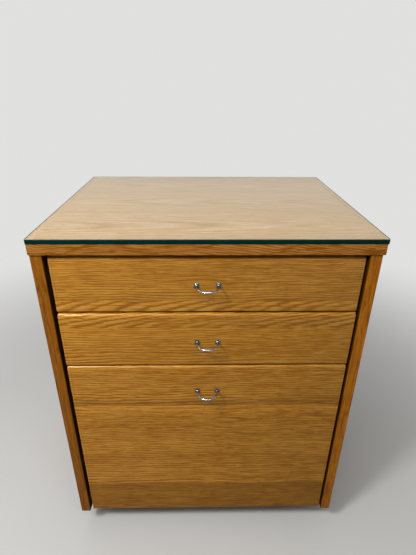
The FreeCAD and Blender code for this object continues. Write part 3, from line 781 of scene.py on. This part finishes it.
def made_piece(
    name: str,
    shape: bmesh.types.BMesh,
    body: str,
    crease: float = 40.0,
) -> bpy.types.Object:
    """Turns a finished bmesh into a piece of the cabinet.

    Args:
        name: The piece's name.
        shape: The bmesh, which is freed.
        body: The body that the piece rides on.
        crease: The angle in degrees from which an edge stays sharp.

    Returns:
        The new object.
    """
    bmesh.ops.recalc_face_normals(shape, faces=shape.faces)
    mesh = bpy.data.meshes.new(name)
    shape.to_mesh(mesh)
    shape.free()
    mesh.shade_smooth()
    mesh.set_sharp_from_angle(angle=math.radians(crease))
    piece = bpy.data.objects.new(name, mesh)
    bpy.context.scene.collection.objects.link(piece)
    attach(piece, body)
    return piece


@dataclass
class Glass:
    """The plate on the top, remade so that it clears the wood by a hair and each part has its finish.

    A face lies flat if its normal's Z is above level, and stands upright if that is below upright.
    """

    finish: PlateGlass
    corner: float = 3.0 * MM
    arris: float = 0.8 * MM
    lift: float = 0.1 * MM
    overhang: float = 2.4 * MM
    line: float = 1.4 * MM
    crease: float = 16.0
    level: float = 0.99
    upright: float = 0.05

    def build(self) -> bpy.types.Object:
        """Makes the plate from a cube by bevels.

        Returns:
            The plate's object.
        """
        low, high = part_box("glass_top")
        low.z += self.lift
        size = high - low
        shape = bmesh.new()
        bmesh.ops.create_cube(shape, size=1.0)
        bmesh.ops.scale(shape, vec=size, verts=shape.verts)
        bmesh.ops.translate(shape, vec=(low + high) / 2, verts=shape.verts)
        self.bevel(shape, True, self.corner, 8)
        self.bevel(shape, False, self.arris, 3)
        shape.normal_update()
        for face in shape.faces:
            face.material_index = self.part(face).value
        under = [face for face in shape.faces if face.normal.z < -self.level]
        over = [face for face in shape.faces if face.normal.z > self.level]
        # Painted shade: the ring under the overhang is opaque and painted in a shaded tone, where the view
        # through the glass lies in shade.
        for face in self.ring(shape, under, self.overhang):
            face.material_index = GlassPart.SHADED.value
        # The line shows along the sides and the back, and the front stays clear up to its arris.
        for face in self.ring(shape, over, self.line):
            if face.calc_center_median().y > low.y + 2 * self.corner:
                face.material_index = GlassPart.LINE.value
        plate = made_piece("glass_plate", shape, "carcass", self.crease)
        finish = self.finish
        dress(plate, finish.faces(), finish.edges(), finish.shaded(), finish.ground(), finish.lined())
        # Light reaches the wood through the plate.
        plate.visible_shadow = False
        plate.visible_diffuse = False
        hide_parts("glass_top")
        return plate

    def bevel(self, shape: bmesh.types.BMesh, upright: bool, width: float, segments: int) -> None:
        """Rounds the plate's upright edges or its level ones.

        Args:
            shape: The plate's bmesh.
            upright: True for the corners, False for the upper rim.
            width: How far the bevel reaches.
            segments: How many faces it has.
        """
        top = max(v.co.z for v in shape.verts)
        edges = [edge for edge in shape.edges if self.picked(edge, upright, top)]
        bmesh.ops.bevel(
            shape,
            geom=edges,
            offset=width,
            segments=segments,
            affect="EDGES",
            profile=0.5,
            material=-1,
        )

    def part(self, face: bmesh.types.BMFace) -> GlassPart:
        """Tells which part of the plate a face belongs to, by how far it leans.

        Args:
            face: The face.

        Returns:
            The part, before the rings are set in.
        """
        slope = abs(face.normal.z)
        if slope > self.level:
            return GlassPart.BROAD
        if slope < self.upright:
            return GlassPart.RIM
        return GlassPart.ARRIS

    def ring(
        self,
        shape: bmesh.types.BMesh,
        faces: list[bmesh.types.BMFace],
        width: float,
    ) -> list[bmesh.types.BMFace]:
        """Sets a ring into one of the broad faces.

        Args:
            shape: The plate's bmesh.
            faces: The broad face.
            width: How wide the ring is.

        Returns:
            The ring's faces.
        """
        return bmesh.ops.inset_region(shape, faces=faces, thickness=width, use_even_offset=True)["faces"]

    def picked(self, edge: bmesh.types.BMEdge, upright: bool, top: float) -> bool:
        """Tells whether an edge is to be bevelled.

        Args:
            edge: The edge.
            upright: True to pick the upright edges, False for those round the upper face.
            top: The height of the upper face.

        Returns:
            True if it is one of them.
        """
        ends = [v.co.z for v in edge.verts]
        if upright:
            return max(ends) - min(ends) > MM
        return min(ends) > top - 0.01 * MM


@dataclass
class Handle:
    """A chrome bow handle: two flared feet and a level bow of rod with a thicker grip."""

    number: int
    finish: bpy.types.Material
    foot_chrome_painted_reflection: bpy.types.Material
    rod: float = 1.5 * MM
    grip: float = 2.15 * MM
    collar: float = 1.85 * MM
    foot: float = 5.0 * MM
    foot_height: float = 4.5 * MM
    grip_reach: float = 57.0
    collar_width: float = 8.0
    sides: int = 20
    steps: int = 72

    def build(self) -> bpy.types.Object:
        """Makes the handle in the place of its node.

        Returns:
            The handle's object.
        """
        node = f"drawer_{self.number}_handle"
        low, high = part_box(node)
        centre = Vector(((low.x + high.x) / 2, high.y, (low.z + high.z) / 2))
        bow = (high.x - low.x) / 2 - self.foot
        leg = high.y - low.y - bow - self.grip
        shape = bmesh.new()
        self.sweep(shape, centre, bow, leg)
        rod_faces = len(shape.faces)
        for side in Side:
            self.add_foot(shape, centre + Vector((side.value * bow, 0.0, 0.0)))
        # The feet take the darker chrome, a painted reflection of dark surroundings.
        shape.faces.ensure_lookup_table()
        for face in shape.faces[rod_faces:]:
            face.material_index = 1
        handle = made_piece(node + "_chrome", shape, f"drawer_{self.number}")
        dress(handle, self.finish, self.foot_chrome_painted_reflection)
        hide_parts(node)
        return handle

    def radius(self, share: float) -> float:
        """How thick the bow is at a place on its half turn.

        Args:
            share: The place, from 0 at one leg to 1 at the other.

        Returns:
            The radius there.
        """
        degrees = 180.0 * abs(share - 0.5)
        if degrees < self.grip_reach:
            swell = math.cos(math.radians(degrees * 90.0 / self.grip_reach))
            return self.rod + (self.grip - self.rod) * (0.55 + 0.45 * swell)
        if degrees < self.grip_reach + self.collar_width:
            bead = math.sin(math.radians((degrees - self.grip_reach) * 180.0 / self.collar_width))
            return self.rod + (self.collar - self.rod) * max(bead, 0.25)
        return self.rod

    def sweep(self, shape: bmesh.types.BMesh, centre: Vector, bow: float, leg: float) -> None:
        """Runs a circle out along one leg, round the bow and back along the other leg.

        Args:
            shape: The handle's bmesh.
            centre: The point on the drawer's front between the feet.
            bow: The radius of the bow.
            leg: The length of each leg.
        """
        start = Matrix.Translation(centre + Vector((bow, 0.0, 0.0)))
        facing = Matrix.Rotation(math.radians(90), 4, "X")
        bmesh.ops.create_circle(
            shape,
            radius=self.rod,
            segments=self.sides,
            cap_ends=True,
            matrix=start @ facing,
        )
        ring = self.extruded(shape, list(shape.edges), (0.0, -leg, 0.0))
        middle = centre + Vector((0.0, -leg, 0.0))
        before = self.rod
        for step in range(1, self.steps + 1):
            spun = bmesh.ops.spin(
                shape,
                geom=ring,
                cent=middle,
                axis=(0.0, 0.0, 1.0),
                angle=-math.pi / self.steps,
                steps=1,
            )
            ring = [g for g in spun["geom_last"] if isinstance(g, bmesh.types.BMEdge)]
            now = self.radius(step / self.steps)
            verts = list({v for e in ring for v in e.verts})
            hub = sum((v.co for v in verts), Vector()) / len(verts)
            bmesh.ops.scale(shape, vec=(now / before,) * 3, space=Matrix.Translation(-hub), verts=verts)
            before = now
        last = self.extruded(shape, ring, (0.0, leg, 0.0))
        bmesh.ops.contextual_create(shape, geom=last)

    def extruded(self, shape: bmesh.types.BMesh, ring: list, way: Triple) -> list:
        """Draws a ring of edges out along a line.

        Args:
            shape: The handle's bmesh.
            ring: The ring's edges.
            way: Where it goes.

        Returns:
            The edges of the ring at the far end.
        """
        made = bmesh.ops.extrude_edge_only(shape, edges=ring)["geom"]
        verts = {g for g in made if isinstance(g, bmesh.types.BMVert)}
        bmesh.ops.translate(shape, vec=way, verts=list(verts))
        return [g for g in made if isinstance(g, bmesh.types.BMEdge) and verts.issuperset(g.verts)]

    def add_foot(self, shape: bmesh.types.BMesh, centre: Vector) -> None:
        """Turns a flared foot about the leg.

        Args:
            shape: The handle's bmesh.
            centre: The foot's middle on the drawer's front.
        """
        profile = [
            (0.0, 0.0),
            (self.foot - 0.3 * MM, 0.0),
            (self.foot, 0.3 * MM),
            (self.foot, 0.8 * MM),
            (self.foot - 0.3 * MM, 1.1 * MM),
            (0.70 * self.foot, 1.6 * MM),
            (0.50 * self.foot, 2.5 * MM),
            (0.40 * self.foot, 3.5 * MM),
            (self.rod + 0.35 * MM, self.foot_height - 0.1 * MM),
            (0.0, self.foot_height),
        ]
        verts = [shape.verts.new(centre + Vector((reach, -rise, 0.0))) for reach, rise in profile]
        edges = [shape.edges.new(pair) for pair in zip(verts, verts[1:])]
        bmesh.ops.spin(
            shape,
            geom=verts + edges,
            cent=centre,
            axis=(0.0, 1.0, 0.0),
            angle=2 * math.pi,
            steps=32,
            use_merge=True,
        )
        near = [v for v in shape.verts if (v.co - centre).length < 2 * self.foot]
        bmesh.ops.remove_doubles(shape, verts=near, dist=0.002 * MM)


@dataclass
class Drawer:
    """One drawer with its front, box, screws, slides and handle."""

    number: int
    front: Oak
    side_wood: bpy.types.Material
    end_wood: bpy.types.Material
    zinc: bpy.types.Material
    chrome: bpy.types.Material
    chrome_painted_reflection: bpy.types.Material
    enamel: bpy.types.Material

    def build(self, nodes: dict[str, bpy.types.Object]) -> None:
        """Dresses the drawer's nodes and makes its handle.

        Args:
            nodes: The frame's pieces by name.
        """
        stem = f"drawer_{self.number}_"
        dress(nodes[stem + "front"], self.front.material())
        for name in ("box_side_left", "box_side_right"):
            dress(nodes[stem + name], self.side_wood)
        for name in ("box_front", "box_back", "box_floor"):
            dress(nodes[stem + name], self.end_wood)
        for name in ("slide_screws", "handle_screws"):
            dress(nodes[stem + name], self.zinc)
        for part in ("cabinet_members", "middle_members", "drawer_members"):
            dress(nodes[f"slide_{self.number}_{part}"], self.zinc)
        if stem + "file_rails" in nodes:
            dress(nodes[stem + "file_rails"], self.enamel)
        Handle(self.number, self.chrome, self.chrome_painted_reflection).build()


@dataclass
class Carcass:
    """The fixed case: sides, top, rails, bottom, back and its screws."""

    left: Oak
    right: Oak
    top: Oak
    bottom: Oak
    rail_wood: bpy.types.Material
    back_board: bpy.types.Material
    zinc: bpy.types.Material

    def build(self, nodes: dict[str, bpy.types.Object]) -> None:
        """Dresses the nodes of the case.

        Args:
            nodes: The frame's pieces by name.
        """
        dress(nodes["side_panel_left"], self.left.material())
        dress(nodes["side_panel_right"], self.right.material())
        dress(nodes["top_panel"], self.top.material())
        dress(nodes["bottom_panel"], self.bottom.material())
        for name in ("top_rail_front", "top_rail_rear"):
            dress(nodes[name], self.rail_wood)
        dress(nodes["back_panel"], self.back_board)
        dress(nodes["carcass_screws"], self.zinc)


@dataclass
class Casters:
    """The four swivel casters and their screws."""

    zinc: bpy.types.Material
    nylon: bpy.types.Material

    def build(self, nodes: dict[str, bpy.types.Object]) -> None:
        """Dresses plates, forks, axles, wheels and screws.

        Args:
            nodes: The frame's pieces by name.
        """
        for name, node in nodes.items():
            if name.startswith("caster_"):
                dress(node, self.nylon if name.endswith("_wheel") else self.zinc)


@dataclass(frozen=True)
class Lamp:
    """A soft lamp with a rectangular face, and its output in watts."""

    name: str
    place: Triple
    aim: Triple
    size: tuple[float, float]
    power: float

    def hang(self) -> None:
        """Adds the lamp to the scene, turned to face its aim."""
        light = bpy.data.lights.new(self.name, "AREA")
        light.shape = "RECTANGLE"
        light.size, light.size_y = self.size
        light.energy = self.power
        lamp = bpy.data.objects.new(self.name, light)
        bpy.context.scene.collection.objects.link(lamp)
        lamp.location = self.place
        facing = Vector(self.aim) - Vector(self.place)
        lamp.rotation_euler = facing.to_track_quat("-Z", "Y").to_euler()
        lamp.visible_camera = False


@dataclass
class Studio:
    """A pale floor that fades into a pale surrounding, soft lamps and the camera.

    The camera stands to the left of the cabinet's middle, before the glass's front edge and above
    its upper face. Its angles are in degrees, and its focal length is given in the photograph's
    own pixels, as a share of the photograph's height.
    """

    floor_colour: Colour = (0.46, 0.455, 0.445)
    floor_in_mirrors: Colour = (0.15, 0.15, 0.15)
    around: Colour = (0.75, 0.75, 0.74)
    behind_camera: Colour = (0.16, 0.17, 0.18)
    fill: float = 0.32
    floor_reach: float = 40.0
    fade: tuple[float, float] = (0.5, 1.7)
    lamps: tuple[Lamp, ...] = (
        Lamp("key", (-0.70, -0.84, 1.46), (0.0, -0.2, 0.20), (0.22, 0.22), 16.5),
        Lamp("strip", (-0.28, -1.10, 1.95), (-0.1, -0.2, 0.30), (2.6, 0.3), 21.0),
        Lamp("ceiling", (-0.2, 0.25, 2.3), (0.0, 0.0, 0.6), (1.2, 1.2), 13.0),
    )
    camera_left: float = 9.32 * MM
    camera_before: float = 561.35 * MM
    camera_above: float = 212.65 * MM
    pitch: float = 26.173
    yaw: float = 1.051
    roll: float = 0.348
    focal_pixels: float = 399.34
    photo_height: float = 555.0
    sensor: float = 36.0

    def build(self) -> None:
        """Sets up everything that isn't the cabinet."""
        scene = bpy.context.scene
        scene.view_settings.view_transform = "Standard"
        self.add_floor()
        self.add_world(scene)
        for lamp in self.lamps:
            lamp.hang()
        self.add_camera(scene)

    def add_floor(self) -> None:
        """Lays one large plain sheet, which turns as pale as the surrounding further out."""
        shape = bmesh.new()
        bmesh.ops.create_circle(shape, cap_ends=True, segments=64, radius=self.floor_reach)
        mesh = bpy.data.meshes.new("floor")
        shape.to_mesh(mesh)
        shape.free()
        floor = bpy.data.objects.new("floor", mesh)
        bpy.context.scene.collection.objects.link(floor)
        shader = Shader("pale_floor")
        place = shader.place()
        shader.finish(Base_Color=shader.clouded(self.floor_colour, 2.0, 0.97, 1.0, 3.0), Roughness=0.85)
        glow = shader.node("Emission", {0: (*self.around, 1.0)})
        dim = shader.node("BsdfDiffuse", {0: (*self.floor_in_mirrors, 1.0)})
        far = shader.node(
            "MapRange",
            {"Value": shader.vector("LENGTH", place), "From Min": self.fade[0], "From Max": self.fade[1]},
            interpolation_type="SMOOTHSTEP",
        ).outputs[0]
        rays = shader.node("LightPath")
        seen = shader.math("MAXIMUM", rays.outputs["Is Camera Ray"], rays.outputs["Is Glossy Ray"])
        seen = shader.math("MAXIMUM", seen, rays.outputs["Is Transmission Ray"])
        near = shader.node("MixShader", {0: rays.outputs["Is Glossy Ray"]})
        shader.feed(near.inputs[1], shader.surface.outputs[0])
        shader.feed(near.inputs[2], dim.outputs[0])
        mixed = shader.node("MixShader", {0: shader.math("MULTIPLY", far, seen)})
        shader.feed(mixed.inputs[1], near.outputs[0])
        shader.feed(mixed.inputs[2], glow.outputs[0])
        shader.feed(shader.output.inputs[0], mixed.outputs[0])
        dress(floor, shader.material)
        floor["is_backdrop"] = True

    def add_world(self, scene: bpy.types.Scene) -> None:
        """Makes the surrounding: an even fill light, pale to the eye, and darker in front in mirrors.

        Args:
            scene: The scene that it is set for.
        """
        scene.world = bpy.data.worlds.new("surrounding")
        scene.world.use_nodes = True
        nodes = Nodes(scene.world.node_tree)
        nodes.tree.nodes.clear()
        rays = nodes.node("LightPath").outputs
        towards_back = nodes.parts(nodes.node("TexCoord").outputs["Generated"])[1]
        share = nodes.spread(towards_back, -1.0, 1.0)
        stops = [(0.30, self.behind_camera), (0.55, self.around)]
        mirrored = nodes.ramp(share, stops)
        around = (*self.around, 1.0)
        looked_at = nodes.tinted(mirrored, around, nodes.math("SUBTRACT", 1.0, rays["Is Glossy Ray"]), "MIX")
        seen = nodes.math("MAXIMUM", rays["Is Camera Ray"], rays["Is Glossy Ray"])
        seen = nodes.math("MAXIMUM", seen, rays["Is Transmission Ray"])
        fill = nodes.node("Background", {0: around, 1: self.fill / self.around[0]})
        view = nodes.node("Background", {0: looked_at, 1: 1.0})
        both = nodes.node("MixShader", {0: seen})
        nodes.feed(both.inputs[1], fill.outputs[0])
        nodes.feed(both.inputs[2], view.outputs[0])
        nodes.node("OutputWorld", {0: both.outputs[0]})

    def add_camera(self, scene: bpy.types.Scene) -> None:
        """Sets the camera where the photograph was taken from.

        Args:
            scene: The scene that it is set for.
        """
        pitch, yaw, roll = (math.radians(angle) for angle in (self.pitch, self.yaw, self.roll))
        low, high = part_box("glass_top")
        middle = (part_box("side_panel_left")[0].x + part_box("side_panel_right")[1].x) / 2
        place = Vector((middle - self.camera_left, low.y - self.camera_before, high.z + self.camera_above))
        ahead = math.cos(pitch)
        forward = Vector((math.sin(yaw) * ahead, math.cos(yaw) * ahead, -math.sin(pitch)))
        level = Vector((math.cos(yaw), -math.sin(yaw), 0.0))
        upward = level.cross(forward)
        right = level * math.cos(roll) + upward * math.sin(roll)
        above = upward * math.cos(roll) - level * math.sin(roll)
        turn = Matrix((right, above, -forward)).transposed().to_4x4()
        data = bpy.data.cameras.new("camera")
        data.sensor_width = self.sensor
        data.lens = self.focal_pixels / self.photo_height * self.sensor
        data.clip_start = 0.01
        data.clip_end = 60.0
        camera = bpy.data.objects.new("camera", data)
        scene.collection.objects.link(camera)
        camera.matrix_world = Matrix.Translation(place) @ turn
        scene.camera = camera


def drawer_fronts() -> list[Oak]:
    """Chooses the wood of the three fronts, with the strips that each is glued up from.

    Returns:
        The finishes from the top drawer down.
    """
    strips = [
        (
            Board(0.0, 0.95, heart=0.553, rate=-25.0, bend=2250.0, figure=1.0, contrast=1.35),
            Board(0.5805, 0.93, heart=0.47, rate=0.4, bend=800.0, figure=0.7, step=0.16),
        ),
        (
            Board(0.0, 0.98, heart=0.36, rate=0.5, bend=700.0, figure=0.75),
            Board(0.530, 1.0, heart=0.515, rate=-25.0, bend=2000.0, figure=0.9, contrast=1.35, step=0.16),
        ),
        (
            Board(0.0, (0.76, 0.72, 0.40), heart=-0.05, rate=0.5, bend=900.0, figure=0.3, contrast=1.3),
            Board(0.137, 1.06, heart=0.03, rate=-0.6, bend=500.0, figure=0.7, contrast=1.6, step=-0.10),
            Board(0.2625, 1.03, heart=0.10, rate=0.8, bend=600.0, figure=0.7, contrast=1.8, step=0.10),
            Board(0.3575, 1.04, heart=0.28, rate=-1.6, bend=800.0, figure=0.7, contrast=1.7, step=0.52),
        ),
    ]
    marks = [
        ((0.0013, 0.578, 5.0 * MM, 1.8 * MM),),
        (),
        ((0.0316, 0.378, 3.0 * MM, 2.0 * MM), (-0.149, 0.084, 7.0 * MM, 1.5 * MM)),
    ]
    fronts = []
    for number, (boards, spots) in enumerate(zip(strips, marks), start=1):
        low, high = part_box(f"drawer_{number}_front")
        fronts.append(
            Oak(
                f"oak_front_{number}",
                Cut.FRONT,
                HEIGHTS,
                low.y,
                boards,
                seed=0.31 * number,
                ends=(low.x, high.x),
                marks=spots,
                # Painted shade: each front is painted darker towards its right end, where the light falls
                # off.
                fade=0.22,
            )
        )
    return fronts


def side_leaves(tone: float, lipping: Colour) -> tuple[Board, ...]:
    """The lippings and the veneer leaves of a side panel, from front to back.

    Args:
        tone: The whole panel's brightness.
        lipping: The tint of the strip along the front edge.

    Returns:
        The strips.
    """
    low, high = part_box("side_panel_left")
    return (
        Board(DEPTHS[0], lipping, heart=-0.35, rate=0.4, bend=700.0, figure=0.3, contrast=0.75),
        Board(low.y + LIPPING, tone, heart=-0.115, rate=9.0, bend=1500.0, figure=0.8),
        Board(-0.045, tone, heart=0.03, rate=-9.0, bend=1500.0, figure=0.8),
        Board(0.10, tone, heart=0.165, rate=9.0, bend=1500.0, figure=0.8),
        Board(high.y - LIPPING, tone, heart=0.35, rate=0.4, bend=700.0, figure=0.5),
    )


def top_leaves() -> tuple[Board, ...]:
    """The lippings and the veneer leaves of the top, from front to back.

    Returns:
        The strips.
    """
    low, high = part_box("top_panel")
    return (
        Board(DEPTHS[0], EDGE_TINT, heart=-0.30, rate=30.0, bend=2500.0, figure=0.8),
        Board(low.y + LIPPING, heart=-0.12, rate=6.0, bend=1200.0, figure=0.6, contrast=0.45),
        Board(-0.05, heart=0.03, rate=-6.0, bend=1200.0, figure=0.6, contrast=0.40),
        Board(0.10, heart=0.165, rate=6.0, bend=1200.0, figure=0.6, contrast=0.35),
        Board(high.y - LIPPING, heart=0.35, rate=0.4, bend=700.0, figure=0.5, contrast=0.35),
    )


def main() -> None:
    """Loads the frame, builds the cabinet and the studio, and logs each shown piece."""
    logging.basicConfig(level=logging.INFO, format="%(name)s: %(message)s")
    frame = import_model()
    nodes = frame["nodes"]

    zinc = Metal("zinc_plate", (0.62, 0.63, 0.65), 0.34).material()
    chrome = Metal("chrome_plate", (0.50, 0.51, 0.54), 0.14).material()
    # Painted reflection: the feet's chrome is made dark to stand in for the dark surroundings that it would
    # mirror.
    chrome_painted_reflection = Metal("chrome_plate_painted_reflection", (0.17, 0.21, 0.23), 0.16).material()
    enamel = Coating("black_enamel", (0.018, 0.018, 0.019), 0.4).material()
    nylon = Coating("black_nylon", (0.016, 0.016, 0.017), 0.5).material()
    side_wood = PlainWood("box_wood_deep", Cut.BOX_SIDE).material()
    end_wood = PlainWood("box_wood_across", Cut.FRONT).material()
    back_board = PlainWood("back_board", Cut.BACK, (0.42, 0.26, 0.12), (0.34, 0.20, 0.09)).material()

    left_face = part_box("side_panel_left")[0].x
    right_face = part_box("side_panel_right")[1].x
    top_low, top_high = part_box("top_panel")
    # Painted shade: the sides' inner faces, 19 mm in from the outer face, are darkened for the gap beside
    # the drawers.
    dull = {"gloss": 0.25, "varnish": 0.0, "inner_shade_depth": 19.0 * MM}
    carcass = Carcass(
        left=Oak(
            "oak_side_left",
            Cut.SIDE,
            DEPTHS,
            left_face,
            side_leaves(0.86, (0.53, 0.42, 0.16)),
            seed=0.15,
            **dull,
        ),
        right=Oak(
            "oak_side_right",
            Cut.SIDE,
            DEPTHS,
            right_face,
            side_leaves(0.92, (0.76, 0.61, 0.12)),
            seed=0.62,
            **dull,
        ),
        top=Oak(
            "oak_top",
            Cut.TOP,
            DEPTHS,
            top_high.z,
            top_leaves(),
            seed=0.4,
            light=(0.49, 0.355, 0.235),
            middle=(0.385, 0.248, 0.115),
            dark=(0.27, 0.14, 0.02),
            gloss=0.08,
            varnish=0.0,
            marks=((-0.2435, -0.152, 4.0 * MM, 1.2 * MM),),
            rim=(top_low.x, top_high.x, top_high.y),
        ),
        bottom=Oak(
            "oak_bottom",
            Cut.TOP,
            DEPTHS,
            70.0 * MM,
            side_leaves(0.9, (0.56, 0.56, 0.56)),
            seed=0.8,
        ),
        rail_wood=end_wood,
        back_board=back_board,
        zinc=zinc,
    )
    carcass.build(nodes)
    Glass(PlateGlass("plate_glass")).build()
    for number, front in enumerate(drawer_fronts(), start=1):
        Drawer(number, front, side_wood, end_wood, zinc, chrome, chrome_painted_reflection, enamel).build(nodes)
    Casters(zinc, nylon).build(nodes)
    Studio().build()

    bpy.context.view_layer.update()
    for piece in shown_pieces():
        LOG.info("%s is in place", piece.name)


if __name__ == "__main__":
    main()
